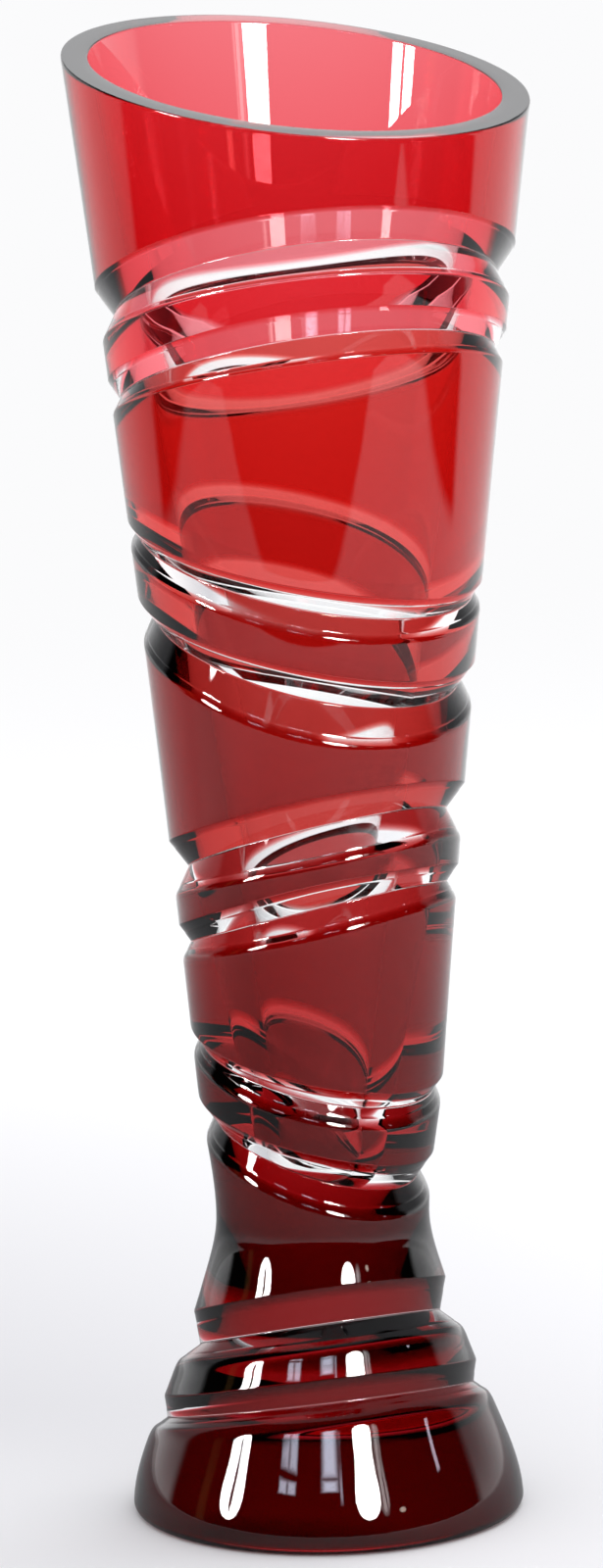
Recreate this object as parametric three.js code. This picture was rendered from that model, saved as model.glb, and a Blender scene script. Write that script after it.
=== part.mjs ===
// A tall trumpet vase of cased lead crystal, in millimetres, standing on the XY plane with +Z up.
// A thick clear crystal body carries a thin skin of ruby glass. Ten slanting V-shaped ring cuts, in five
// pairs, go through the skin into the clear glass and leave the ruby as eleven separate bands.
// +X is the viewer's right and +Y points away from the viewer.
import * as THREE from 'three';

// Ruby skin, which thins from the table to the rim, and the clearance that keeps it a separate solid from
// the crystal it is fused to
const footSkin = 1.4;
const rimSkin = 0.45;
const fusionGap = 0.3;
const tableGap = 0.4;

// Foot: the clear body's lower edge is rounded, and the ruby skin follows it at its own thickness
const bodyRounding = 0.3;
const footRounding = bodyRounding + fusionGap + footSkin;

// Outer wall: radius and lean (radius gained for each millimetre of height) at each station
const footRadius = 41.0;
const footLean = -0.05;
const flareHeight = 20;
const flareRadius = 35.7;
const flareLean = -0.41;
const ankleHeight = 48;
const ankleRadius = 25.6;
const ankleLean = -0.3;
const waistHeight = 63;
const waistRadius = 22.3;
const trunkHeight = 92;
const trunkRadius = 25.7;
const trunkLean = 0.085;
const rimHeight = 300;
const rimRadius = 47.8;
const rimLean = 0.125;

// Slanting rim: height gained for each millimetre to the right and to the back
const rimRightRise = -0.115;
const rimBackRise = 0.183;

// Hollow: a long tapering well that ends in a rounded floor
const rimWall = 5.7;
const hollowLean = 0.17;
const wellHeight = 80;
const wellRadius = 8.5;
const wellLean = 0.13;
const floorHeight = 72;

// Ring cuts, from the foot to the rim. up places a ring on the axis as a share of the stretch it sits in,
// and rightRise and backRise slant it. side, front and back are how deep the cut is there, as shares of the
// rim wall. The facets stand at facetAngle to the wall, in degrees, and tilt turns both towards the rim.
const facetAngle = 31.3;
const footCuts = [
  { up: 0.3746, rightRise: 0.094, backRise: -0.205, side: 0.4035, front: 0.4474, back: 0.3685, tilt: 2.6 },
  { up: 0.627, rightRise: 0.109, backRise: -0.234, side: 0.6, front: 0.6667, back: 0.491, tilt: 3.4 },
];
const trunkCuts = [
  { up: 0.0603, rightRise: -0.266, backRise: 0.165, side: 0.514, front: 0.6438, back: 0.404, tilt: 2.4 },
  { up: 0.1354, rightRise: -0.214, backRise: 0.155, side: 0.3333, front: 0.4298, back: 0.3073, tilt: 0 },
  { up: 0.2692, rightRise: 0.204, backRise: -0.177, side: 0.3667, front: 0.579, back: 0.2632, tilt: 2 },
  { up: 0.3342, rightRise: 0.184, backRise: -0.219, side: 0.6053, front: 0.7632, back: 0.4563, tilt: -0.3 },
  { up: 0.5038, rightRise: -0.214, backRise: 0.208, side: 0.5596, front: 0.7736, back: 0.4206, tilt: -0.9 },
  { up: 0.5789, rightRise: -0.192, backRise: 0.169, side: 0.3316, front: 0.507, back: 0.2816, tilt: 2.3 },
  { up: 0.7409, rightRise: 0.112, backRise: -0.275, side: 0.3667, front: 0.5386, back: 0.2105, tilt: 3.8 },
  { up: 0.8089, rightRise: 0.088, backRise: -0.323, side: 0.6018, front: 0.7351, back: 0.3248, tilt: 2.3 },
];
const cuts = [
  ...footCuts.map((cut) => placedCut(cut, 0, waistHeight)),
  ...trunkCuts.map((cut) => placedCut(cut, waistHeight, rimHeight)),
];

// Bands of ruby between the cuts, from the foot to the rim
const bandNames = [
  'foot_band',
  'lowest_narrow_band',
  'waist_band',
  'lower_narrow_band',
  'lower_wide_band',
  'middle_narrow_band',
  'middle_wide_band',
  'upper_narrow_band',
  'upper_wide_band',
  'highest_narrow_band',
  'rim_band',
];

// Facets
const columnsAround = 48;
const straightPitch = 14;
const curvedPitch = 6;
const roundingSteps = 3;

const stations = [
  { height: footRounding, radius: footRadius, lean: footLean },
  { height: flareHeight, radius: flareRadius, lean: flareLean },
  { height: ankleHeight, radius: ankleRadius, lean: ankleLean },
  { height: waistHeight, radius: waistRadius, lean: 0 },
  { height: trunkHeight, radius: trunkRadius, lean: trunkLean },
  { height: rimHeight, radius: rimRadius, lean: rimLean },
];

const hollowStations = [
  { height: wellHeight, radius: wellRadius, lean: wellLean },
  { height: rimHeight, radius: rimRadius - rimWall, lean: hollowLean },
];

// Ring cut in millimetres, placed in the stretch of the axis between two heights.
function placedCut(cut, low, high) {
  const height = low + cut.up * (high - low);
  const side = cut.side * rimWall;
  const front = cut.front * rimWall;
  const back = cut.back * rimWall;
  return { ...cut, height, side, front, back };
}

// Smooth curve through stations, straight on past the first and the last. Gives radius and lean at a height.
function follow(list, height) {
  const upper = list.findIndex((station) => station.height > height);
  if (upper < 1) {
    const end = upper === 0 ? list[0] : list[list.length - 1];
    return { radius: end.radius + end.lean * (height - end.height), lean: end.lean };
  }
  const a = list[upper - 1];
  const b = list[upper];
  const span = b.height - a.height;
  const t = (height - a.height) / span;
  const radius = (1 + 2 * t) * (1 - t) ** 2 * a.radius + t * (1 - t) ** 2 * span * a.lean
    + t * t * (3 - 2 * t) * b.radius + t * t * (t - 1) * span * b.lean;
  const lean = 6 * t * (1 - t) * (b.radius - a.radius) / span
    + (1 - t) * (1 - 3 * t) * a.lean + t * (3 * t - 2) * b.lean;
  return { radius, lean };
}

// Point of the outer wall at a height, moved inwards at right angles to the wall by inset.
function wallPoint(height, inset) {
  const { radius, lean } = follow(stations, height);
  const slant = Math.hypot(1, lean);
  return new THREE.Vector2(radius - inset / slant, height + inset * lean / slant);
}

// Height where a slanting plane meets a curve of stations, on the side of the vase at angle.
function planeHeight(list, middle, rightRise, backRise, angle) {
  const rise = rightRise * Math.cos(angle) + backRise * Math.sin(angle);
  let height = middle;
  for (let step = 0; step < 20; step++) height = middle + rise * follow(list, height).radius;
  return height;
}

// Thickness of the ruby skin at a height.
function skinAt(height) {
  return footSkin + (rimSkin - footSkin) * height / rimHeight;
}

// Depths below the outside of the vase at which the ruby ends and the clear body starts.
const outsideInset = () => 0;
const rubyInset = (height) => skinAt(height);
const bodyInset = (height) => skinAt(height) + fusionGap;

// Section of one ring cut at angle: its two edges on the wall, and its bottom.
function cutSection(cut, angle) {
  const middle = planeHeight(stations, cut.height, cut.rightRise, cut.backRise, angle);
  const end = Math.sin(angle) < 0 ? cut.front : cut.back;
  const depth = cut.side + (end - cut.side) * Math.sin(angle) ** 2;
  const rise = depth / Math.hypot(1, follow(stations, middle).lean);
  const lowHeight = middle - rise / Math.tan(THREE.MathUtils.degToRad(facetAngle + cut.tilt));
  const highHeight = middle + rise / Math.tan(THREE.MathUtils.degToRad(facetAngle - cut.tilt));
  const lower = wallPoint(lowHeight, 0);
  const upper = wallPoint(highHeight, 0);
  return { lower, upper, bottom: wallPoint(middle, depth), depth, lowHeight, highHeight };
}

// Rows of points up the wall from one height to another, below the outside by inset. Where a cut ends the
// stretch, the end row lies on the facet of the cut, at the same depth.
function stretchRows(below, above, angle, inset, rows) {
  const lowCut = below && cutSection(below, angle);
  const highCut = above && cutSection(above, angle);
  const rimTop = planeHeight(stations, rimHeight, rimRightRise, rimBackRise, angle);
  const low = lowCut ? lowCut.highHeight : footRounding;
  const high = highCut ? highCut.lowHeight : rimTop;
  const points = [];
  for (let row = 0; row < rows; row++) {
    const height = low + (high - low) * row / (rows - 1);
    points.push(wallPoint(height, inset(height)));
  }
  if (lowCut) points[0] = lowCut.upper.clone().lerp(lowCut.bottom, inset(low) / lowCut.depth);
  if (highCut) points[rows - 1] = highCut.lower.clone().lerp(highCut.bottom, inset(high) / highCut.depth);
  else points[rows - 1] = rimPoint(stations, inset(high), angle);
  return points;
}

// Point of the slanting rim plane, inset from the curve of stations.
function rimPoint(list, inset, angle) {
  const height = planeHeight(list, rimHeight, rimRightRise, rimBackRise, angle);
  const rise = rimRightRise * Math.cos(angle) + rimBackRise * Math.sin(angle);
  const { radius, lean } = follow(list, height);
  const inner = radius - inset * Math.hypot(1, lean) / (1 - rise * lean);
  return new THREE.Vector2(inner, rimHeight + rise * inner);
}

// Rounded lower edge of the foot, from near the table up to the first row of the wall, inset by a depth.
function footEdge(inset) {
  const centre = new THREE.Vector2(footRadius - footRounding, footRounding);
  const reach = footRounding - inset;
  const start = Math.asin(tableGap / footRounding - 1);
  const points = [];
  for (let step = 0; step < roundingSteps; step++) {
    const turn = start * (1 - step / roundingSteps);
    points.push(new THREE.Vector2(centre.x + reach * Math.cos(turn), centre.y + reach * Math.sin(turn)));
  }
  return points;
}

// How many rows a stretch needs: the wall curves below the trunk and is nearly straight above it.
function rowsBetween(below, above) {
  const low = below ? below.height : 0;
  const high = above ? above.height : rimHeight;
  const pitch = high < trunkHeight ? curvedPitch : straightPitch;
  return 1 + Math.max(1, Math.round((high - low) / pitch) - 1);
}

// Closed solid from a section that changes with the angle round the axis.
function sweep(sectionAt) {
  const geometry = new THREE.LatheGeometry(sectionAt(0), columnsAround);
  const position = geometry.attributes.position;
  const rows = sectionAt(0).length;
  for (let column = 0; column <= columnsAround; column++) {
    const angle = 2 * Math.PI * (column % columnsAround) / columnsAround;
    sectionAt(angle).forEach((point, row) => {
      const x = point.x * Math.cos(angle);
      const y = point.x * Math.sin(angle);
      position.setXYZ(column * rows + row, x, y, point.y);
    });
  }
  geometry.computeVertexNormals();
  return geometry;
}

// Section of one ruby band: up its outside, down its inside, and closed.
function bandSection(index, angle) {
  const below = cuts[index - 1];
  const above = cuts[index];
  const rows = rowsBetween(below, above);
  const outside = stretchRows(below, above, angle, outsideInset, rows);
  const inside = stretchRows(below, above, angle, rubyInset, rows);
  if (!below) {
    outside.unshift(...footEdge(0));
    inside.unshift(...footEdge(rubyInset(footRounding)));
  }
  return [...outside, ...inside.reverse(), outside[0].clone()];
}

// Section of the clear body: base, outside with the bottoms of the cuts, rim, hollow and its floor.
function bodySection(angle) {
  const points = [new THREE.Vector2(0, 0), new THREE.Vector2(footRadius - footRounding, 0)];
  points.push(...footEdge(bodyInset(footRounding)));
  for (let index = 0; index <= cuts.length; index++) {
    const below = cuts[index - 1];
    const above = cuts[index];
    points.push(...stretchRows(below, above, angle, bodyInset, rowsBetween(below, above)));
    if (above) points.push(cutSection(above, angle).bottom);
  }
  points.push(rimPoint(hollowStations, 0, angle));
  const top = planeHeight(hollowStations, rimHeight, rimRightRise, rimBackRise, angle);
  const hollowRows = Math.round((rimHeight - wellHeight) / (2 * straightPitch));
  for (let row = 1; row <= hollowRows; row++) {
    const height = top + (wellHeight - top) * row / hollowRows;
    points.push(new THREE.Vector2(follow(hollowStations, height).radius, height));
  }
  for (let step = 1; step <= roundingSteps; step++) {
    const turn = Math.PI / 2 * step / roundingSteps;
    const drop = (wellHeight - floorHeight) * Math.sin(turn);
    const radius = step < roundingSteps ? wellRadius * Math.cos(turn) : 0;
    points.push(new THREE.Vector2(radius, wellHeight - drop));
  }
  return points;
}

const vase = new THREE.Group();

// Polished clear crystal
const crystal = new THREE.MeshStandardMaterial({ color: 0xeef3f5, roughness: 0.03, metalness: 0 });
const body = new THREE.Mesh(sweep(bodySection), crystal);
body.name = 'crystal_body';
vase.add(body);

// Polished ruby glass, which looks darker towards the foot, where it backs solid glass
const footRuby = new THREE.Color(0x4a0a10);
const rimRuby = new THREE.Color(0xc81c10);
bandNames.forEach((name, index) => {
  const color = footRuby.clone().lerp(rimRuby, index / (bandNames.length - 1));
  const ruby = new THREE.MeshStandardMaterial({ color, roughness: 0.03, metalness: 0 });
  const band = new THREE.Mesh(sweep((angle) => bandSection(index, angle)), ruby);
  band.name = name;
  vase.add(band);
});

export default vase;
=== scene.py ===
import math

import bmesh
import bpy
import numpy as np
from mathutils import Matrix, Vector


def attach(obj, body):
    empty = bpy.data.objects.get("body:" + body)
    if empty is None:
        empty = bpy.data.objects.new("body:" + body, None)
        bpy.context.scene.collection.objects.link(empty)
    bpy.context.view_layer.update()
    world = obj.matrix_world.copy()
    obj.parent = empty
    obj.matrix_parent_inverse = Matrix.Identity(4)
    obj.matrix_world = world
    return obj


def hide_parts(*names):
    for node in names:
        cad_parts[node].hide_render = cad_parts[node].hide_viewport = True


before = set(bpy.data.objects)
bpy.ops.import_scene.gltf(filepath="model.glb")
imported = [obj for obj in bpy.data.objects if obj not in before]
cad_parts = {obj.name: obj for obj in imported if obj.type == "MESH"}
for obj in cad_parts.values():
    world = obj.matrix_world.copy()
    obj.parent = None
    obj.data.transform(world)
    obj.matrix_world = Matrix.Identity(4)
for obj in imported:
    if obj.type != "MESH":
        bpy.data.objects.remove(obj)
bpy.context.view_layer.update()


# Crystal body.
# One thick piece of clear lead crystal with a long tapering hollow. It was blown and shaped hot, cased with
# ruby, then cut with a V-edged wheel and polished, so its cuts, rim and base are bare. Its sizes are in mm.
MM = 0.001
COLUMNS = 288  # points round the axis
ROW_PITCH = 2.5  # about the height between rows of points on the wall
SKIN = (1.4, 0.45)  # thickness of the ruby on it, at the table and at the rim
FOOT_ROUNDING = 2.0
FOOT_EDGE_ROWS = 6
TABLE_GAP = 0.4  # height above the table at which the ruby ends
WALL = (  # height, radius, and radius gained for each mm of height
    (FOOT_ROUNDING, 41.0, -0.05),
    (20, 35.7, -0.41),
    (48, 25.6, -0.3),
    (63, 22.3, 0),
    (92, 25.7, 0.085),
    (300, 47.8, 0.125),
)
HOLLOW = ((80, 8.5, 0.13), (300, 42.1, 0.17))
HOLLOW_FLOOR = 72
HOLLOW_ROWS = 18  # few are enough, because the hollow is nearly straight
FLOOR_BEND = 68 / 69  # share of the way down from which it bends into its rounded floor
FLOOR_ROWS = 12
LIP = 3.0  # depth of the hollow's first row below the rim
RIM = (300, -0.115, 0.183)  # height on the axis, rise to the right, rise to the back
RIM_ROUNDING = 0.35  # reach of the rounding of the mouth's edge
CUTS = (  # height on the axis, rise right and back, depth at the sides, in front and behind, and lean
    (23.6, 0.094, -0.205, 2.3, 2.55, 2.1, 2.6),
    (39.5, 0.109, -0.234, 3.42, 3.8, 2.8, 3.4),
    (77.3, -0.266, 0.165, 2.93, 3.67, 2.3, 2.4),
    (95.1, -0.214, 0.155, 1.9, 2.45, 1.75, 0.0),
    (126.8, 0.204, -0.177, 2.09, 3.3, 1.5, 2.0),
    (142.2, 0.184, -0.219, 3.45, 4.35, 2.6, -0.3),
    (182.4, -0.214, 0.208, 3.19, 4.41, 2.4, -0.9),
    (200.2, -0.192, 0.169, 1.89, 2.89, 1.6, 2.3),
    (238.6, 0.112, -0.275, 2.09, 3.07, 1.2, 3.8),
    (254.7, 0.088, -0.323, 3.43, 4.19, 1.85, 2.3),
)
FACET_ANGLE = 31.3  # between a facet and the wall, in degrees, where the wheel does not lean
CUT_ROUNDING = 0.3  # reach of the rounding of a cut's bottom
ROLL_OVER = (0.055, 0.6)  # how deep the crystal rolls down to the ruby, and from how far, in skins
UNDER = 1.02  # depth of the crystal under the wall, in skins, so that it meets the ruby only at the joints
SHARP = math.radians(18)  # faces that meet at more than this show an edge between them
BARE, FUSED, GROUND = range(3)  # kinds of surface, in the order of the crystal's materials
turn = np.linspace(0, 2 * math.pi, COLUMNS, endpoint=False)


def follow(stations, height):
    """Radius and lean of a smooth curve through stations, straight past its ends."""
    at, radii, leans = np.array(stations, float).T
    height = np.asarray(height, float)
    i = np.clip(np.searchsorted(at, height, side="right") - 1, 0, len(at) - 2)
    span = at[i + 1] - at[i]
    t = np.clip((height - at[i]) / span, 0, 1)
    past = height - np.clip(height, at[0], at[-1])
    lean = (
        6 * t * (1 - t) * (radii[i + 1] - radii[i]) / span
        + (1 - t) * (1 - 3 * t) * leans[i]
        + t * (3 * t - 2) * leans[i + 1]
    )
    radius = (
        (1 + 2 * t) * (1 - t) ** 2 * radii[i]
        + t * (1 - t) ** 2 * span * leans[i]
        + t * t * (3 - 2 * t) * radii[i + 1]
        + t * t * (t - 1) * span * leans[i + 1]
        + past * lean
    )
    return radius, lean


def skin(height):
    """Thickness of the ruby at a height."""
    return SKIN[0] + (SKIN[1] - SKIN[0]) * height / RIM[0]


def wall_point(height, inset):
    """Point of the outer wall, moved inwards at right angles to the wall."""
    radius, lean = follow(WALL, height)
    slant = np.hypot(1, lean)
    return np.stack([radius - inset / slant, height + inset * lean / slant], -1)


def plane_height(stations, middle, rise):
    """Height where a slanting plane meets a curve of stations."""
    height = middle + 0 * rise
    for _ in range(20):
        height = middle + rise * follow(stations, height)[0]
    return height


def rise_round(right, back):
    """Rise of a slanting plane for each mm outwards, all round the vase."""
    return right * np.cos(turn) + back * np.sin(turn)


def cut_section(cut):
    """Lower edge, upper edge and bottom of a ring cut, and the heights of its edges, all round the vase."""
    middle, right, back, sides, front, behind, lean = cut
    height = plane_height(WALL, middle, rise_round(right, back))
    depth = sides + (np.where(np.sin(turn) < 0, front, behind) - sides) * np.sin(turn) ** 2
    along = depth / np.hypot(1, follow(WALL, height)[1])
    low_height = height - along / math.tan(math.radians(FACET_ANGLE + lean))
    high_height = height + along / math.tan(math.radians(FACET_ANGLE - lean))
    return {
        "low": wall_point(low_height, 0),
        "high": wall_point(high_height, 0),
        "bottom": wall_point(height, depth),
        "depth": depth[:, None],
        "low_height": low_height,
        "high_height": high_height,
    }


def rim_point(stations, share):
    """Point of the slanting rim plane, inset from a curve of stations by a share of the skin."""
    rise = rise_round(*RIM[1:])
    height = plane_height(stations, RIM[0], rise)
    radius, lean = follow(stations, height)
    radius = radius - share * skin(height) * np.hypot(1, lean) / (1 - rise * lean)
    return np.stack([radius, RIM[0] + rise * radius], -1)


def on_facet(section, side, away=0.0):
    """Point of a cut's facet where the ruby joins the crystal, or so many skins further down."""
    across = section["bottom"] - section[side]
    width = np.linalg.norm(across, axis=-1, keepdims=True)
    across = across / width
    into = np.stack([-across[:, 1], across[:, 0]], -1) * (1 if side == "low" else -1)
    ruby = skin(section[side + "_height"])[:, None]
    start = width * ruby / section["depth"]
    down = ROLL_OVER[0] * ruby * (1 - away / ROLL_OVER[1]) ** 2
    return section[side] + across * (start + away * ruby) + into * down


def rounded(before, corner, after, reach, steps):
    """Points of a small rounding in place of a corner, with one more point just past its end."""
    past = 0.04

    def towards(other, distance):
        away = other - corner
        return corner + away / np.linalg.norm(away, axis=-1, keepdims=True) * distance

    start, end = towards(before, reach[0]), towards(after, reach[1])
    shares = np.linspace(0, 1, steps + 1)
    arc = [(1 - s) ** 2 * start + 2 * s * (1 - s) * corner + s * s * end for s in shares]
    return [*arc, towards(after, reach[1] + past)]


def foot_edge(share):
    """Rounded lower edge of the foot, inset by a share of the skin, from near the table up to the wall."""
    start = math.asin(TABLE_GAP / FOOT_ROUNDING - 1)
    reach = FOOT_ROUNDING - share * skin(FOOT_ROUNDING)
    centre = WALL[0][1] - FOOT_ROUNDING
    points = []
    for step in range(FOOT_EDGE_ROWS):
        angle = start * (1 - step / FOOT_EDGE_ROWS)
        point = [centre + reach * math.cos(angle), FOOT_ROUNDING + reach * math.sin(angle)]
        points.append(np.tile(point, (COLUMNS, 1)))
    return points


def wall_rows(low, high, share, margins=None):
    """Points up the wall between two heights, inset by a share of the skin, with margins at its ends."""
    count = max(3, round(float(np.max(high - low)) / ROW_PITCH))
    shares = np.arange(1, count) / count
    if margins:
        low, high, shares = low + margins[0], high - margins[1], np.linspace(0, 1, count - 1)
    heights = [low + (high - low) * s for s in shares]
    return [wall_point(height, share * skin(height)) for height in heights]


def rows_of(points, kind=BARE):
    """Rows of points, each with the kind of glass from it to the next row."""
    return [(row, kind) for row in points]


def turned_mesh(name, rows, closed=False):
    """Mesh of a section that changes round the axis. A closed one ends in its first row."""
    points = np.stack([row for row, kind in rows])
    x = points[..., 0] * np.cos(turn)
    y = points[..., 0] * np.sin(turn)
    verts = np.stack([x, y, points[..., 1]], -1).reshape(-1, 3) * MM
    columns = np.arange(COLUMNS)
    beside = (columns + 1) % COLUMNS
    faces, kinds = [], []
    for index, (_, kind) in enumerate(rows if closed else rows[:-1]):
        this = index * COLUMNS
        above = (index + 1) % len(rows) * COLUMNS
        faces.append(np.stack([this + columns, this + beside, above + beside, above + columns], -1))
        kinds.append(np.full(COLUMNS, kind, np.float32))
    mesh = bpy.data.meshes.new(name)
    mesh.from_pydata(verts.tolist(), [], np.concatenate(faces).tolist())
    mesh.attributes.new("fused", "FLOAT", "FACE").data.foreach_set("value", np.concatenate(kinds))
    work = bmesh.new()
    work.from_mesh(mesh)
    bmesh.ops.remove_doubles(work, verts=work.verts, dist=1e-7)
    work.to_mesh(mesh)
    work.free()
    return mesh


def linear(code):
    """Linear colour from an sRGB hex code."""
    values = [int(code[i : i + 2], 16) / 255 for i in (0, 2, 4)]
    return [v / 12.92 if v <= 0.04045 else ((v + 0.055) / 1.055) ** 2.4 for v in values] + [1.0]


def add_node(tree, kind, *inputs, **settings):
    """Adds a node with its settings. Its inputs are given in turn, or by name or number in a dict, and one
    that is a socket or a node is linked, a node by the first output that it uses."""
    node = tree.nodes.new(kind)
    for name, value in settings.items():
        setattr(node, name, value)
    given = {}
    for index, value in enumerate(inputs):
        given.update(value if isinstance(value, dict) else {index: value})
    for key, value in given.items():
        if isinstance(value, bpy.types.Node):
            value = next(output for output in value.outputs if output.enabled)
        if isinstance(value, bpy.types.NodeSocket):
            tree.links.new(value, node.inputs[key])
        else:
            node.inputs[key].default_value = value
    return node


def new_material(name):
    """Material with an empty node tree."""
    material = bpy.data.materials.new(name)
    material.use_nodes = True
    material.node_tree.nodes.clear()
    return material, material.node_tree


# Lead crystal bends light strongly, so its edges and facets flash white and black. Acid polishing leaves
# faint smears about 7 mm apart, and the fire leaves a slight waviness about 18 mm long.
GLASS_IOR = 1.545


def polish(tree):
    """Roughness and normal of fire-polished and acid-polished glass, as inputs for its shader."""
    place = add_node(tree, "ShaderNodeTexCoord").outputs["Object"]
    waves = add_node(tree, "ShaderNodeTexNoise", {"Vector": place, "Scale": 55.0, "Detail": 1.0})
    smears = add_node(tree, "ShaderNodeTexNoise", {"Vector": place, "Scale": 140.0, "Detail": 5.0})
    rough = add_node(tree, "ShaderNodeMapRange", smears, 0.55, 0.8, 0.0, 0.05)
    bump = add_node(tree, "ShaderNodeBump", {"Height": waves, "Strength": 0.5, "Distance": 0.00004})
    return {"Roughness": rough, "Normal": bump}


crystal, tree = new_material("polished lead crystal")
glass = add_node(
    tree,
    "ShaderNodeBsdfPrincipled",
    {"Base Color": linear("fcfdfd"), "IOR": GLASS_IOR, "Transmission Weight": 1.0, **polish(tree)},
)
add_node(tree, "ShaderNodeOutputMaterial", glass)

# Where the crystal is fused to the ruby there is no surface to see, and light goes straight on.
joint, tree = new_material("crystal fused to ruby")
add_node(tree, "ShaderNodeOutputMaterial", add_node(tree, "ShaderNodeBsdfTransparent"))

# The flat base was ground, so it is slightly dull. Its dark red colour is painted shade for the shadow under
# the vase: it darkens and reddens what is seen in the foot by way of its base. The grit's scratches are too
# fine to show, so they are drawn 0.4 mm apart.
ground, tree = new_material("ground flat base, dark red as painted shade under the vase")
place = add_node(tree, "ShaderNodeTexCoord").outputs["Object"]
scratches = add_node(tree, "ShaderNodeTexNoise", {"Vector": place, "Scale": 2500.0, "Detail": 3.0})
bump = add_node(tree, "ShaderNodeBump", {"Height": scratches, "Strength": 0.2, "Distance": 0.00002})
glass = add_node(
    tree,
    "ShaderNodeBsdfGlass",
    {"Color": linear("82121a"), "Roughness": 0.06, "IOR": GLASS_IOR, "Normal": bump},
)
add_node(tree, "ShaderNodeOutputMaterial", glass)

flat = WALL[0][1] - FOOT_ROUNDING
base_radii = (0.0, flat - 1.0, flat - 0.2, flat)
base = [np.tile([radius, 0.0], (COLUMNS, 1)) for radius in base_radii]
edge = [foot_edge(1)[0], *foot_edge(UNDER)[1:]]
low = np.full(COLUMNS, FOOT_ROUNDING)
rows = rows_of(base[:-1], GROUND)
rows += rows_of([base[-1], base[-1] + (edge[0] - base[-1]) * 0.5])
rows += rows_of([*edge, wall_point(low, UNDER * skin(low))], FUSED)
sections = [cut_section(cut) for cut in CUTS]
steps = [ROLL_OVER[1] * step / 4 for step in range(5)]
for section in sections:
    rows += rows_of(wall_rows(low, section["low_height"], UNDER), FUSED)
    below = [on_facet(section, "low", away) for away in steps]
    above = [on_facet(section, "high", away) for away in steps[::-1]]
    bottom = rounded(below[-1], section["bottom"], above[0], (CUT_ROUNDING, CUT_ROUNDING), 6)
    rows += rows_of([*below, *bottom, *above[:-1]])
    rows += rows_of(above[-1:], FUSED)
    low = section["high_height"]
rim_height = plane_height(WALL, RIM[0], rise_round(*RIM[1:]))
rows += rows_of(wall_rows(low, rim_height, UNDER), FUSED)
outer, inner = rim_point(WALL, 1), rim_point(HOLLOW, 0)
start = plane_height(HOLLOW, RIM[0], rise_round(*RIM[1:])) - LIP
first = np.stack([follow(HOLLOW, start)[0], start], -1)
rows += rows_of([outer, outer + (inner - outer) * 0.5])
rows += rows_of(rounded(outer, inner, first, (RIM_ROUNDING, RIM_ROUNDING), 5))
for share in [*np.linspace(0, FLOOR_BEND, HOLLOW_ROWS - 1), 1.0][1:]:
    height = start + (HOLLOW[0][0] - start) * share
    rows += rows_of([np.stack([follow(HOLLOW, height)[0], height], -1)])
for step in range(1, FLOOR_ROWS + 1):
    angle = math.pi / 2 * step / FLOOR_ROWS
    radius = max(HOLLOW[0][1] * math.cos(angle), 0.0)
    height = HOLLOW[0][0] - (HOLLOW[0][0] - HOLLOW_FLOOR) * math.sin(angle)
    rows += rows_of([np.tile([radius, height], (COLUMNS, 1))])

mesh = turned_mesh("crystal_body", rows)
mesh.shade_smooth()
mesh.set_sharp_from_angle(angle=SHARP)
for material in (crystal, joint, ground):
    mesh.materials.append(material)
kinds = np.zeros(len(mesh.polygons), np.float32)
mesh.attributes["fused"].data.foreach_get("value", kinds)
mesh.polygons.foreach_set("material_index", kinds.astype(np.int32))
body = bpy.data.objects.new("clear_crystal_body", mesh)
bpy.context.scene.collection.objects.link(body)
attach(body, "root")
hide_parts("crystal_body")


# Foot band.
# The lowest of the eleven bands that the ring cuts leave of the ruby glass. The ruby was melted onto the
# crystal while both were hot. It is thickest here, and polishing has rounded its upper edge broadly.
FOOT_COLOUR = "b0141e"  # that its thickness lets through once
FOOT_MIDDLE = 12.0  # height of its middle
FOOT_EDGE = 1.7  # reach of the rounding of its upper edge down the wall, in skins
UPPER_EDGE = 0.85  # and of all other upper edges, and down the facets
LOWER_EDGE = 0.25  # and of the bands' lower edges, which the wheel leaves keener


def ruby_glass(band, colour, thickness):
    """Ruby glass colours light by the way that the light takes in it, so a band is a clear red that is darker
    where it is seen at a slant. Where it is fused to the crystal, light goes straight on."""
    material, tree = new_material("polished ruby glass, " + band.replace("_", " "))
    glass = add_node(
        tree,
        "ShaderNodeBsdfPrincipled",
        {"Base Color": linear("ffffff"), "IOR": GLASS_IOR, "Transmission Weight": 1.0, **polish(tree)},
    )
    fused = add_node(tree, "ShaderNodeAttribute", attribute_name="fused").outputs["Fac"]
    through = add_node(tree, "ShaderNodeBsdfTransparent")
    surface = add_node(tree, "ShaderNodeMixShader", fused, glass, through)
    passed = np.clip(linear(colour)[:3], 1e-4, 0.999)
    absorbed = -np.log(passed) / (thickness * MM)
    density = float(absorbed.max())
    tint = [*(1 - absorbed / density), 1.0]
    volume = add_node(tree, "ShaderNodeVolumeAbsorption", {"Color": tint, "Density": density})
    add_node(tree, "ShaderNodeOutputMaterial", surface, volume)
    return material


def place_band(name, mesh):
    """Makes a band's mesh into its piece on the vase."""
    mesh.shade_smooth()
    mesh.set_sharp_from_angle(angle=SHARP)
    band = bpy.data.objects.new("ruby_" + name, mesh)
    bpy.context.scene.collection.objects.link(band)
    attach(band, "root")
    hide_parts(name)


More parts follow.
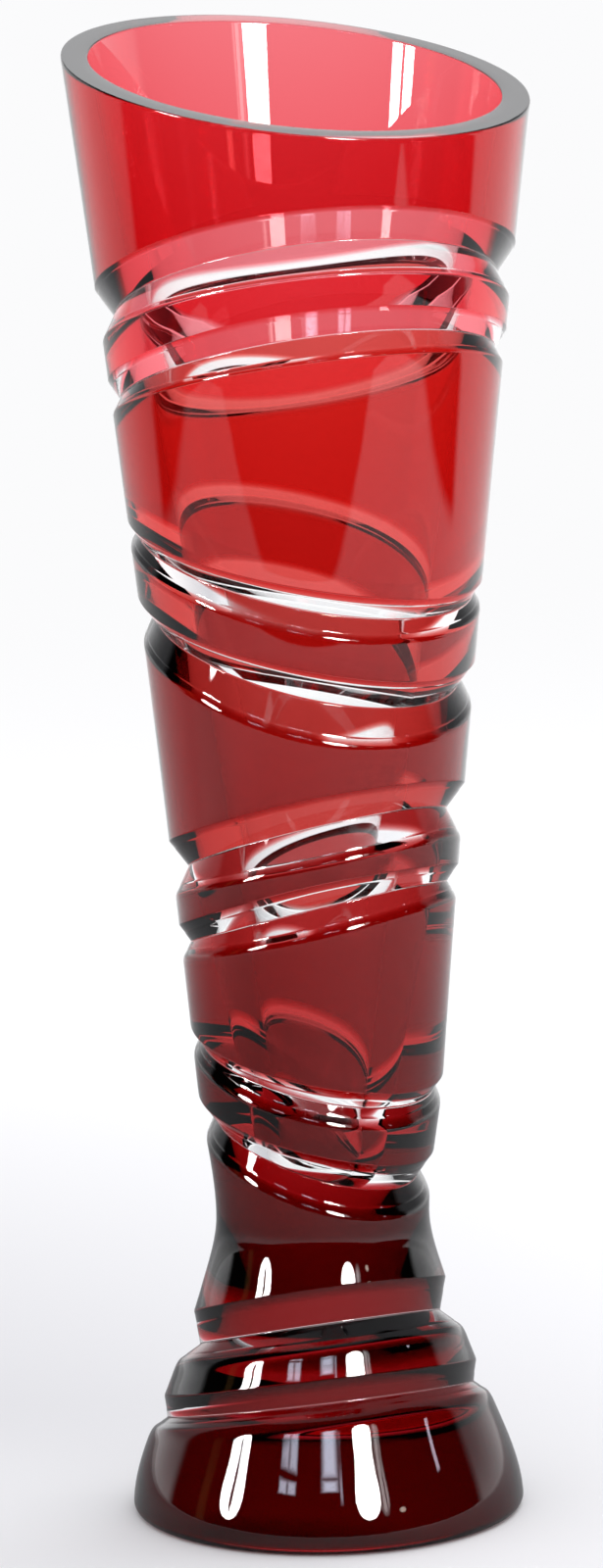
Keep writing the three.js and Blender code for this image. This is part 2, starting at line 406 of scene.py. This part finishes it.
low, high = np.full(COLUMNS, FOOT_ROUNDING), sections[0]["low_height"]
outside = wall_rows(low, high, 0, (0.5, 1.2 * FOOT_EDGE * skin(high)))
corner, joined = sections[0]["low"], on_facet(sections[0], "low")
reach = [share * skin(high)[:, None] for share in (FOOT_EDGE, UPPER_EDGE)]
under = [joined, *wall_rows(low, high, 1)[::-1], wall_point(low, skin(low)), *foot_edge(1)[:0:-1]]
rows = rows_of([foot_edge(1)[0], *foot_edge(0), wall_point(low, 0), *outside])
rows += rows_of(rounded(outside[-1], corner, joined, reach, 8))
rows += rows_of(under, FUSED)
mesh = turned_mesh("foot_band", rows, closed=True)
mesh.materials.append(ruby_glass("foot_band", FOOT_COLOUR, skin(FOOT_MIDDLE)))
place_band("foot_band", mesh)


# Rim band.
# The tallest and thinnest band of the same ruby glass, fused to the crystal like the others. It was cut off
# with the crystal by the slanting rim, and polished.
RIM_COLOUR = "e35c64"
RIM_MIDDLE = 277.0
RIM_EDGE = (2.0, 0.8)  # reach of the rounding of its upper edge down the wall and across the rim, in skins

low, high = sections[9]["high_height"], rim_height
outside = wall_rows(low, high, 0, (1.3 * LOWER_EDGE * skin(low), 1.2 * RIM_EDGE[0] * skin(high)))
lower_corner, lower_joined = sections[9]["high"], on_facet(sections[9], "high")
upper_corner, upper_joined = rim_point(WALL, 0), rim_point(WALL, 1)
lower_reach = [LOWER_EDGE * skin(low)[:, None]] * 2
upper_reach = [share * skin(high)[:, None] for share in RIM_EDGE]
rows = rows_of([lower_joined, *rounded(lower_joined, lower_corner, outside[0], lower_reach, 5), *outside])
rows += rows_of(rounded(outside[-1], upper_corner, upper_joined, upper_reach, 8))
rows += rows_of([upper_joined, *wall_rows(low, high, 1)[::-1]], FUSED)
mesh = turned_mesh("rim_band", rows, closed=True)
mesh.materials.append(ruby_glass("rim_band", RIM_COLOUR, skin(RIM_MIDDLE)))
place_band("rim_band", mesh)


# Nine bands between ring cuts.
# Bands of the same ruby glass, fused to the crystal, each cut at both edges by the wheel. One rule shapes
# them all: the wall between two slanting ring cuts. The nodes work it out from the sizes of the two cuts.
NINE_BANDS = (  # name, and the colour that its thickness lets through once, from the foot up
    ("lowest_narrow_band", "88080c"),
    ("waist_band", "961014"),
    ("lower_narrow_band", "a02224"),
    ("lower_wide_band", "b53030"),
    ("middle_narrow_band", "b03434"),
    ("middle_wide_band", "c2403c"),
    ("upper_narrow_band", "cc4844"),
    ("upper_wide_band", "de5652"),
    ("highest_narrow_band", "f58a92"),
)
CUT_SIZES = ("Height", "Right Rise", "Back Rise", "Side Depth", "Front Depth", "Back Depth", "Lean")
LEAN_STEP = 0.1  # how far up and down the wall its lean is measured
MATHS = "ShaderNodeMath"
VECTORS = "ShaderNodeVectorMath"


def new_group(name, inputs, outputs):
    """Node group with its named inputs and outputs. Gives it and the sockets of its inputs."""
    group = bpy.data.node_groups.new(name, "GeometryNodeTree")
    for side, sockets in (("INPUT", inputs), ("OUTPUT", outputs)):
        for socket, kind in sockets.items():
            group.interface.new_socket(socket, in_out=side, socket_type="NodeSocket" + kind)
    return group, add_node(group, "NodeGroupInput").outputs


wall_radius, given = new_group("wall radius", {"Height": "Float"}, {"Radius": "Float"})
tree = wall_radius
# Each stretch adds a cubic of the share of it that is below the height.
radius = WALL[0][1]
for (first, start, lean), (last, end, next_lean) in zip(WALL, WALL[1:]):
    span = last - first
    bend = 3 * (end - start) - span * (2 * lean + next_lean)
    twist = span * (lean + next_lean) - 2 * (end - start)
    share = add_node(tree, "ShaderNodeMapRange", given["Height"], first, last)
    part = add_node(tree, MATHS, share, twist, bend, operation="MULTIPLY_ADD")
    part = add_node(tree, MATHS, share, part, span * lean, operation="MULTIPLY_ADD")
    radius = add_node(tree, MATHS, share, part, radius, operation="MULTIPLY_ADD")
add_node(tree, "NodeGroupOutput", radius)

wall, given = new_group(
    "wall point", {"Height": "Float", "Inset": "Float"}, {"Point": "Vector", "Slant": "Float"}
)
tree = wall
radii = []
for step in (-LEAN_STEP, 0.0, LEAN_STEP):
    height = add_node(tree, MATHS, given["Height"], step, operation="ADD")
    radii.append(add_node(tree, "GeometryNodeGroup", height, node_tree=wall_radius))
gain = add_node(tree, MATHS, radii[2], radii[0], operation="SUBTRACT")
lean = add_node(tree, MATHS, gain, 2 * LEAN_STEP, operation="DIVIDE")
inwards = add_node(tree, "ShaderNodeCombineXYZ", -1.0, {2: lean})
slant = add_node(tree, VECTORS, inwards, operation="LENGTH")
share = add_node(tree, MATHS, given["Inset"], slant, operation="DIVIDE")
inset = add_node(tree, VECTORS, inwards, {3: share}, operation="SCALE")
outer = add_node(tree, "ShaderNodeCombineXYZ", radii[1], {2: given["Height"]})
point = add_node(tree, VECTORS, outer, inset, operation="ADD")
add_node(tree, "NodeGroupOutput", point, slant)

ring_cut, given = new_group(
    "ring cut",
    {"Angle": "Float", **{size: "Float" for size in CUT_SIZES}},
    {"Low Height": "Float", "High Height": "Float", "Bottom": "Vector", "Depth": "Float"},
)
tree = ring_cut
cosine = add_node(tree, MATHS, given["Angle"], operation="COSINE")
sine = add_node(tree, MATHS, given["Angle"], operation="SINE")
rise = add_node(tree, MATHS, given["Right Rise"], cosine, operation="MULTIPLY")
rise = add_node(tree, MATHS, given["Back Rise"], sine, rise, operation="MULTIPLY_ADD")
# Eight rounds find the height at which the cut's plane meets the wall.
height = given["Height"]
for _ in range(8):
    radius = add_node(tree, "GeometryNodeGroup", height, node_tree=wall_radius)
    height = add_node(tree, MATHS, rise, radius, given["Height"], operation="MULTIPLY_ADD")
in_front = add_node(tree, MATHS, sine, 0.0, operation="LESS_THAN")
end = add_node(tree, "ShaderNodeMix", in_front, {2: given["Back Depth"], 3: given["Front Depth"]})
change = add_node(tree, MATHS, end, given["Side Depth"], operation="SUBTRACT")
share = add_node(tree, MATHS, sine, sine, operation="MULTIPLY")
depth = add_node(tree, MATHS, change, share, given["Side Depth"], operation="MULTIPLY_ADD")
bottom, slant = add_node(tree, "GeometryNodeGroup", height, depth, node_tree=wall).outputs
edges = []
for way in (-1.0, 1.0):
    leaning = add_node(tree, MATHS, given["Lean"], math.radians(-way), operation="MULTIPLY")
    facet = add_node(tree, MATHS, leaning, math.radians(FACET_ANGLE), operation="ADD")
    tangent = add_node(tree, MATHS, facet, operation="TANGENT")
    steepness = add_node(tree, MATHS, slant, tangent, operation="MULTIPLY")
    along = add_node(tree, MATHS, depth, steepness, operation="DIVIDE")
    edges.append(add_node(tree, MATHS, along, way, height, operation="MULTIPLY_ADD"))
add_node(tree, "NodeGroupOutput", *edges, bottom, depth)

joint_point, given = new_group(
    "joint of ruby and crystal",
    {"Edge": "Vector", "Bottom": "Vector", "Depth": "Float", "Skin": "Float", "Side": "Float"},
    {"Point": "Vector"},
)
tree = joint_point
across = add_node(tree, VECTORS, given["Bottom"], given["Edge"], operation="SUBTRACT")
share = add_node(tree, MATHS, given["Skin"], given["Depth"], operation="DIVIDE")
down = add_node(tree, VECTORS, across, {3: share}, operation="SCALE")
facet = add_node(tree, VECTORS, across, operation="NORMALIZE")
axis = add_node(tree, "ShaderNodeCombineXYZ", {1: given["Side"]})
into = add_node(tree, VECTORS, facet, axis, operation="CROSS_PRODUCT")
roll = add_node(tree, MATHS, given["Skin"], ROLL_OVER[0], operation="MULTIPLY")
into = add_node(tree, VECTORS, into, {3: roll}, operation="SCALE")
away = add_node(tree, VECTORS, down, into, operation="ADD")
point = add_node(tree, VECTORS, given["Edge"], away, operation="ADD")
add_node(tree, "NodeGroupOutput", point)

ruby_band, given = new_group(
    "ruby band",
    {
        **{"Lower " + size: "Float" for size in CUT_SIZES},
        **{"Upper " + size: "Float" for size in CUT_SIZES},
        "Skin at Table": "Float",
        "Skin at Rim": "Float",
        "Lower Rounding": "Float",
        "Upper Rounding": "Float",
        "Facet Rounding": "Float",
        "Columns": "Int",
        "Rows": "Int",
        "Glass": "Material",
    },
    {"Band": "Geometry"},
)
tree = ruby_band
on_grid = add_node(tree, "ShaderNodeSeparateXYZ", add_node(tree, "GeometryNodeInputPosition")).outputs
angle = add_node(tree, MATHS, on_grid[0], 2 * math.pi, math.pi, operation="MULTIPLY_ADD")
cosine = add_node(tree, MATHS, angle, operation="COSINE")
sine = add_node(tree, MATHS, angle, operation="SINE")
along = add_node(tree, MATHS, on_grid[1], 0.5, operation="ADD")
change = add_node(tree, MATHS, given["Skin at Rim"], given["Skin at Table"], operation="SUBTRACT")


def skin_at(height):
    """Thickness of the ruby at a height."""
    share = add_node(tree, MATHS, height, float(RIM[0]), operation="DIVIDE")
    return add_node(tree, MATHS, change, share, given["Skin at Table"], operation="MULTIPLY_ADD")


def between(*points):
    """Place along a strip from one point to another, or along an arc that turns at a point between them."""
    while len(points) > 1:
        points = [
            add_node(tree, "ShaderNodeMix", along, {4: start, 5: end}, data_type="VECTOR")
            for start, end in zip(points, points[1:])
        ]
    return points[0]


corners, joints, facets, walls, heights = [], [], [], [], []
for side, cut_edge, way, wall_reach, facet_reach in (
    ("Lower ", 1, 1.0, "Lower Rounding", "Lower Rounding"),
    ("Upper ", 0, -1.0, "Upper Rounding", "Facet Rounding"),
):
    sizes = [given[side + size] for size in CUT_SIZES]
    cut = add_node(tree, "GeometryNodeGroup", angle, *sizes, node_tree=ring_cut).outputs
    height, bottom, depth = cut[cut_edge], cut[2], cut[3]
    ruby = skin_at(height)
    corner = add_node(tree, "GeometryNodeGroup", height, 0.0, node_tree=wall)
    joined = add_node(tree, "GeometryNodeGroup", corner, bottom, depth, ruby, -way, node_tree=joint_point)
    facet = add_node(tree, VECTORS, joined, corner, operation="SUBTRACT")
    facet = add_node(tree, VECTORS, facet, operation="NORMALIZE")
    reach = add_node(tree, MATHS, ruby, given[facet_reach], operation="MULTIPLY")
    facet = add_node(tree, VECTORS, facet, {3: reach}, operation="SCALE")
    reach = add_node(tree, MATHS, ruby, given[wall_reach], operation="MULTIPLY")
    wall_height = add_node(tree, MATHS, reach, way, height, operation="MULTIPLY_ADD")
    corners.append(corner)
    joints.append(joined)
    facets.append(add_node(tree, VECTORS, corner, facet, operation="ADD"))
    walls.append(add_node(tree, "GeometryNodeGroup", wall_height, 0.0, node_tree=wall))
    heights.append((height, wall_height))

(low, wall_low), (high, wall_high) = heights
span = add_node(tree, MATHS, wall_high, wall_low, operation="SUBTRACT")
outside = add_node(tree, MATHS, span, along, wall_low, operation="MULTIPLY_ADD")
span = add_node(tree, MATHS, low, high, operation="SUBTRACT")
under = add_node(tree, MATHS, span, along, high, operation="MULTIPLY_ADD")
outer = add_node(tree, "GeometryNodeGroup", outside, 0.0, node_tree=wall)
inner = add_node(tree, "GeometryNodeGroup", under, skin_at(under), node_tree=wall)
inner_low = add_node(tree, "GeometryNodeGroup", low, skin_at(low), node_tree=wall)
inner_high = add_node(tree, "GeometryNodeGroup", high, skin_at(high), node_tree=wall)
strips = (  # place, rows of points, and whether it is fused to the crystal
    (outer, given["Rows"], BARE),
    (between(walls[1], corners[1], facets[1]), 9, BARE),
    (between(facets[1], joints[1]), 2, BARE),
    (between(joints[1], inner_high), 2, FUSED),
    (inner, given["Rows"], FUSED),
    (between(inner_low, joints[0]), 2, FUSED),
    (between(joints[0], facets[0]), 2, BARE),
    (between(facets[0], corners[0], walls[0]), 6, BARE),
)
band = add_node(tree, "GeometryNodeJoinGeometry")
for place, count, kind in strips:
    grid = add_node(tree, "GeometryNodeMeshGrid", 1.0, 1.0, given["Columns"], count)
    part = add_node(tree, "ShaderNodeSeparateXYZ", place).outputs
    x = add_node(tree, MATHS, part[0], cosine, operation="MULTIPLY")
    y = add_node(tree, MATHS, part[0], sine, operation="MULTIPLY")
    point = add_node(tree, "ShaderNodeCombineXYZ", x, y, part[2])
    point = add_node(tree, VECTORS, point, {3: MM}, operation="SCALE")
    strip = add_node(tree, "GeometryNodeSetPosition", grid, {"Position": point})
    strip = add_node(
        tree,
        "GeometryNodeStoreNamedAttribute",
        strip,
        {"Name": "fused", "Value": float(kind)},
        data_type="FLOAT",
        domain="FACE",
    )
    tree.links.new(strip.outputs[0], band.inputs[0])
band = add_node(tree, "GeometryNodeMergeByDistance", band, {"Distance": 1e-6})
band = add_node(tree, "GeometryNodeRealizeInstances", band)
band = add_node(tree, "GeometryNodeSetMaterial", band, {"Material": given["Glass"]})
add_node(tree, "NodeGroupOutput", band)

sockets = {item.name: item.identifier for item in ruby_band.interface.items_tree if item.in_out == "INPUT"}
for index, (name, colour) in enumerate(NINE_BANDS):
    low, high = sections[index]["high_height"], sections[index + 1]["low_height"]
    values = {"Lower " + size: float(value) for size, value in zip(CUT_SIZES, CUTS[index])}
    values.update({"Upper " + size: float(value) for size, value in zip(CUT_SIZES, CUTS[index + 1])})
    values["Skin at Table"], values["Skin at Rim"] = SKIN
    values["Lower Rounding"] = LOWER_EDGE
    values["Upper Rounding"] = FOOT_EDGE if index == 0 else UPPER_EDGE
    values["Facet Rounding"] = UPPER_EDGE
    values["Columns"] = COLUMNS + 1
    values["Rows"] = max(4, round(float(np.max(high - low)) / ROW_PITCH))
    values["Glass"] = ruby_glass(name, colour, skin(float(np.mean((low, high)))))
    empty = bpy.data.meshes.new("empty")
    band = bpy.data.objects.new("band to convert", empty)
    bpy.context.scene.collection.objects.link(band)
    modifier = band.modifiers.new("ruby band", "NODES")
    modifier.node_group = ruby_band
    for socket, value in values.items():
        modifier[sockets[socket]] = value
    bpy.context.view_layer.update()
    mesh = bpy.data.meshes.new_from_object(band.evaluated_get(bpy.context.evaluated_depsgraph_get()))
    mesh.name = name
    band.modifiers.remove(modifier)
    bpy.data.objects.remove(band)
    bpy.data.meshes.remove(empty)
    place_band(name, mesh)


# Table and backdrop.
# A sheet of white card that runs from under the vase to far behind it, and fades to plain white. On the
# camera's side it ends at the table's edges, and the glass mirrors the darker room beyond. In metres.
SHEET = 30.0  # half of its width
SHEET_DROP = 1e-4  # how far it lies below the base, so that the two do not meet
FRONT_EDGE, FRONT_SLANT = 0.555, -0.085  # distance of the table's front edge from the vase, and its slant
SIDE_EDGE = 0.8
FRONT_BLUR = 0.01
SIDE_BLUR = 0.02
ROOM = "1c1818"
WALL_LIGHT = 1.32  # how much brighter the white walls are than the paper white that the picture shows

scene = bpy.context.scene
mesh = bpy.data.meshes.new("table")
corners = [(x * SHEET, y * SHEET, -SHEET_DROP) for x, y in ((-1, -1), (1, -1), (1, 1), (-1, 1))]
mesh.from_pydata(corners, [], [(0, 1, 2, 3)])
table = bpy.data.objects.new("table", mesh)
scene.collection.objects.link(table)

# Matt card scatters all light alike, so it is an even white with soft shadows, with a grain 1 mm wide. It is
# greyer on the left, where less light falls, and lighter in front and far behind.
material, tree = new_material("matt white card")
smooth, colours = {"interpolation_type": "SMOOTHSTEP"}, {"data_type": "RGBA"}
place = add_node(tree, "ShaderNodeTexCoord").outputs["Object"]
x, y, _ = add_node(tree, "ShaderNodeSeparateXYZ", place).outputs
share = add_node(tree, "ShaderNodeMapRange", x, -0.12, 0.14, **smooth)
colour = add_node(tree, "ShaderNodeMix", share, {6: linear("dcdce0"), 7: linear("f2f2f5")}, **colours)
share = add_node(tree, "ShaderNodeMapRange", y, -0.03, 0.1, **smooth)
colour = add_node(tree, "ShaderNodeMix", share, {6: linear("f3f3f6"), 7: colour}, **colours)
share = add_node(tree, "ShaderNodeMapRange", y, 0.0, 0.7, **smooth)
colour = add_node(tree, "ShaderNodeMix", share, {6: colour, 7: linear("fdfdfe")}, **colours)
grain = add_node(tree, "ShaderNodeTexNoise", {"Vector": place, "Scale": 900.0, "Detail": 2.0})
bump = add_node(tree, "ShaderNodeBump", {"Height": grain, "Strength": 0.15, "Distance": 0.0001})
matt = add_node(tree, "ShaderNodeBsdfDiffuse", {"Color": colour, "Normal": bump})

# Far behind the vase the card is plain white, and in glass as bright as the walls.
path = add_node(tree, "ShaderNodeLightPath").outputs
bent = add_node(tree, MATHS, path["Is Glossy Ray"], path["Is Transmission Ray"], operation="MAXIMUM")
strength = add_node(tree, MATHS, bent, WALL_LIGHT - 1.0, 1.0, operation="MULTIPLY_ADD")
white = add_node(tree, "ShaderNodeEmission", linear("fbfbfc"), strength)
share = add_node(tree, "ShaderNodeMapRange", y, 0.3, 1.6, **smooth)
sheet = add_node(tree, "ShaderNodeMixShader", share, matt, white)

# The card close to the vase and on its left is in the dark room's shade, which shows where glass mirrors it.
room = add_node(tree, "ShaderNodeEmission", linear(ROOM))
reach = add_node(tree, VECTORS, place, operation="LENGTH")
close = add_node(tree, "ShaderNodeMapRange", reach, 0.75, 0.25, **smooth)
shade = add_node(tree, "ShaderNodeMapRange", x, -0.3, 0.3, 0.68, 0.46, **smooth)
shade = add_node(tree, MATHS, shade, close, operation="MULTIPLY")
left = add_node(tree, "ShaderNodeMapRange", x, 0.0, -0.5, 0.0, 0.35, **smooth)
shade = add_node(tree, MATHS, shade, left, operation="MAXIMUM")
shade = add_node(tree, MATHS, shade, path["Is Glossy Ray"], operation="MULTIPLY")
straight = add_node(tree, MATHS, 1.0, path["Is Transmission Ray"], operation="SUBTRACT")
shade = add_node(tree, MATHS, shade, straight, operation="MULTIPLY")
sheet = add_node(tree, "ShaderNodeMixShader", shade, sheet, room)

# Past the table's edges, glass shows the dark room instead of the card.
slant = add_node(tree, MATHS, x, FRONT_SLANT, operation="MULTIPLY")
ahead = add_node(tree, MATHS, slant, y, operation="SUBTRACT")
edge = FRONT_EDGE - FRONT_BLUR, FRONT_EDGE + FRONT_BLUR
front = add_node(tree, "ShaderNodeMapRange", ahead, *edge, **smooth)
aside = add_node(tree, MATHS, x, operation="ABSOLUTE")
edge = SIDE_EDGE - SIDE_BLUR, SIDE_EDGE + SIDE_BLUR
side = add_node(tree, "ShaderNodeMapRange", aside, *edge, **smooth)
near = add_node(tree, "ShaderNodeMapRange", y, 0.25, 0.15, **smooth)
side = add_node(tree, MATHS, side, near, operation="MULTIPLY")
past = add_node(tree, MATHS, front, side, operation="MAXIMUM")
past = add_node(tree, MATHS, past, bent, operation="MULTIPLY")
add_node(tree, "ShaderNodeOutputMaterial", add_node(tree, "ShaderNodeMixShader", past, sheet, room))
mesh.materials.append(material)


# Studio.
# White walls behind and beside the vase, and on the camera's side a darker room with windows and two photo
# umbrellas, all far away. Directions are degrees round from the camera to the right, and degrees up.
ROOM_PLACE = ((-3.5, -10), (105.5, 72), 3.0)  # middle, half its width and height, and blur
WINDOWS = (  # colour, strength, middle, half its width and height, blur, and whether it is round
    ("dfe8ff", 9.0, (-29.8, 28.9), (2.3, 1.4), 0.7, False),
    ("dfe8ff", 9.0, (-29.8, 24.0), (2.3, 1.6), 0.7, False),
    ("dfe8ff", 9.0, (-24.0, 28.9), (2.4, 1.4), 0.7, False),
    ("dfe8ff", 9.0, (-24.0, 24.0), (2.4, 1.6), 0.7, False),
    ("dfe8ff", 12.0, (1.0, 28.9), (4.4, 1.3), 0.7, False),
    ("dfe8ff", 12.0, (1.0, 25.4), (4.4, 1.2), 0.7, False),
    ("dfe8ff", 6.0, (8.2, 24.0), (0.7, 3.6), 0.5, False),
    ("f0e8ff", 8.0, (76.0, 19.5), (1.2, 1.3), 0.5, False),
)
ROOM_LIGHTS = (  # a small lamp, and daylight on a wooden wall
    ("fff0e0", 7.0, (45.0, 12.0), (1.8, 1.2), 0.5, True),
    ("b08050", 0.6, (-82.0, 8.0), (3.0, 12.0), 1.5, False),
)
UMBRELLAS = (  # each with its pole or its streaks
    ("ffffff", 42.0, (-62.5, 17.5), (7.6, 12.5), 0.4, True),
    ("d0b0b0", 0.9, (-62.4, 17.0), (1.1, 9.0), 0.5, True),
    ("ffffff", 5.0, (34.6, 21.0), (3.0, 9.0), 0.9, True),
    ("ffffff", 42.0, (24.6, 21.5), (7.7, 12.0), 0.4, True),
    ("e0c0c8", 0.6, (33.0, 22.0), (0.45, 8.0), 0.3, False),
    ("e0c0c8", 0.8, (35.9, 20.0), (0.4, 7.0), 0.3, False),
)

world = bpy.data.worlds.new("studio")
scene.world = world
world.use_nodes = True
tree = world.node_tree
tree.nodes.clear()
direction = add_node(tree, "ShaderNodeTexCoord").outputs["Generated"]
right, back, up = add_node(tree, "ShaderNodeSeparateXYZ", direction).outputs
front = add_node(tree, MATHS, back, -1.0, operation="MULTIPLY")
azimuth = add_node(tree, MATHS, right, front, operation="ARCTAN2")
azimuth = add_node(tree, MATHS, azimuth, operation="DEGREES")
elevation = add_node(tree, MATHS, up, operation="ARCSINE")
elevation = add_node(tree, MATHS, elevation, operation="DEGREES")
aim = add_node(tree, "ShaderNodeCombineXYZ", azimuth, elevation)


def patch(under, colour, strength, middle, half, blur, is_round=False):
    """A patch of light or shade over what is under it, with its middle and its half width and height."""
    away = add_node(tree, VECTORS, aim, (*middle, 0.0), operation="SUBTRACT")
    share = add_node(tree, VECTORS, away, (*half, 1.0), operation="DIVIDE")
    if is_round:
        reach = add_node(tree, VECTORS, share, operation="LENGTH")
    else:
        span = add_node(tree, VECTORS, share, operation="ABSOLUTE")
        sides = add_node(tree, "ShaderNodeSeparateXYZ", span).outputs
        reach = add_node(tree, MATHS, sides[0], sides[1], operation="MAXIMUM")
    edge = blur / min(half)
    inside = add_node(tree, "ShaderNodeMapRange", reach, 1 + edge, 1 - edge, **smooth)
    light = [strength * value for value in linear(colour)[:3]] + [1.0]
    return add_node(tree, "ShaderNodeMix", inside, {6: under, 7: light}, **colours)


# Glass mirrors the walls less brightly high up, except behind the vase, and mirrors the room's lights. What
# is seen through it shows only the walls and the dark room.
walls = [WALL_LIGHT * value for value in linear("f8f8fa")[:3]] + [1.0]
high = add_node(tree, "ShaderNodeMapRange", elevation, -2.0, 18.0, **smooth)
aside = add_node(tree, MATHS, azimuth, operation="ABSOLUTE")
beside = add_node(tree, "ShaderNodeMapRange", aside, 168.0, 148.0, **smooth)
high = add_node(tree, MATHS, high, beside, operation="MULTIPLY")
mirrored = add_node(tree, "ShaderNodeMix", high, {6: walls, 7: linear("9e9ea2")}, **colours)
mirrored = patch(mirrored, ROOM, 1.0, *ROOM_PLACE)
for light in (*WINDOWS, *ROOM_LIGHTS, *UMBRELLAS):
    mirrored = patch(mirrored, *light)
through = patch(walls, ROOM, 1.0, *ROOM_PLACE)

path = add_node(tree, "ShaderNodeLightPath").outputs
bent = add_node(tree, MATHS, path["Is Glossy Ray"], path["Is Transmission Ray"], operation="MAXIMUM")
seen, straight = path["Is Camera Ray"], path["Is Transmission Ray"]
in_glass = add_node(tree, "ShaderNodeMix", straight, {6: mirrored, 7: through}, **colours)
even = add_node(tree, "ShaderNodeMix", seen, {6: linear("f8f8f9"), 7: linear("fbfbfc")}, **colours)
light = add_node(tree, "ShaderNodeMix", bent, {6: even, 7: in_glass}, **colours)
add_node(tree, "ShaderNodeOutputWorld", add_node(tree, "ShaderNodeBackground", light))

# A soft box overhead to the right and behind gives the vase its shadow, and isn't seen in the glass.
lamp = bpy.data.lights.new("overhead softbox", "AREA")
lamp.shape = "RECTANGLE"
lamp.size, lamp.size_y = 0.8, 0.6
lamp.energy = 4.0
softbox = bpy.data.objects.new("overhead softbox", lamp)
scene.collection.objects.link(softbox)
softbox.location = (0.5, 0.4, 1.1)
softbox.rotation_mode = "QUATERNION"
softbox.rotation_quaternion = (softbox.location - Vector((0, 0, 0.1))).to_track_quat("Z", "Y")
softbox.visible_camera = False
softbox.visible_glossy = False
softbox.visible_transmission = False


# Camera.
# It stands at the photograph's place, about 1.4 m away and a little above the rim.
EYE = Vector((0, -1.41, 0.39))
AIM = Vector((-0.002542, 0, 0.153868))
ROLL = -0.021377
PICTURE_HEIGHT = 1600  # in pixels
FOCAL_LENGTH = 7041.8  # in the same pixels
SENSOR = 36  # in mm, along the picture's height

camera = bpy.data.cameras.new("camera")
camera.lens = SENSOR * FOCAL_LENGTH / PICTURE_HEIGHT
viewer = bpy.data.objects.new("camera", camera)
scene.collection.objects.link(viewer)
forward = (AIM - EYE).normalized()
right = forward.cross(Vector((0, 0, 1))).normalized()
over = right.cross(forward)
tilted_right = math.cos(ROLL) * right + math.sin(ROLL) * over
tilted_up = math.cos(ROLL) * over - math.sin(ROLL) * right
turned = Matrix((tilted_right, tilted_up, -forward)).transposed().to_4x4()
viewer.matrix_world = Matrix.Translation(EYE) @ turned
scene.camera = viewer

scene.view_settings.view_transform = "Standard"
scene.cycles.max_bounces = 32
scene.cycles.transmission_bounces = 32
scene.cycles.glossy_bounces = 32
scene.cycles.transparent_max_bounces = 96
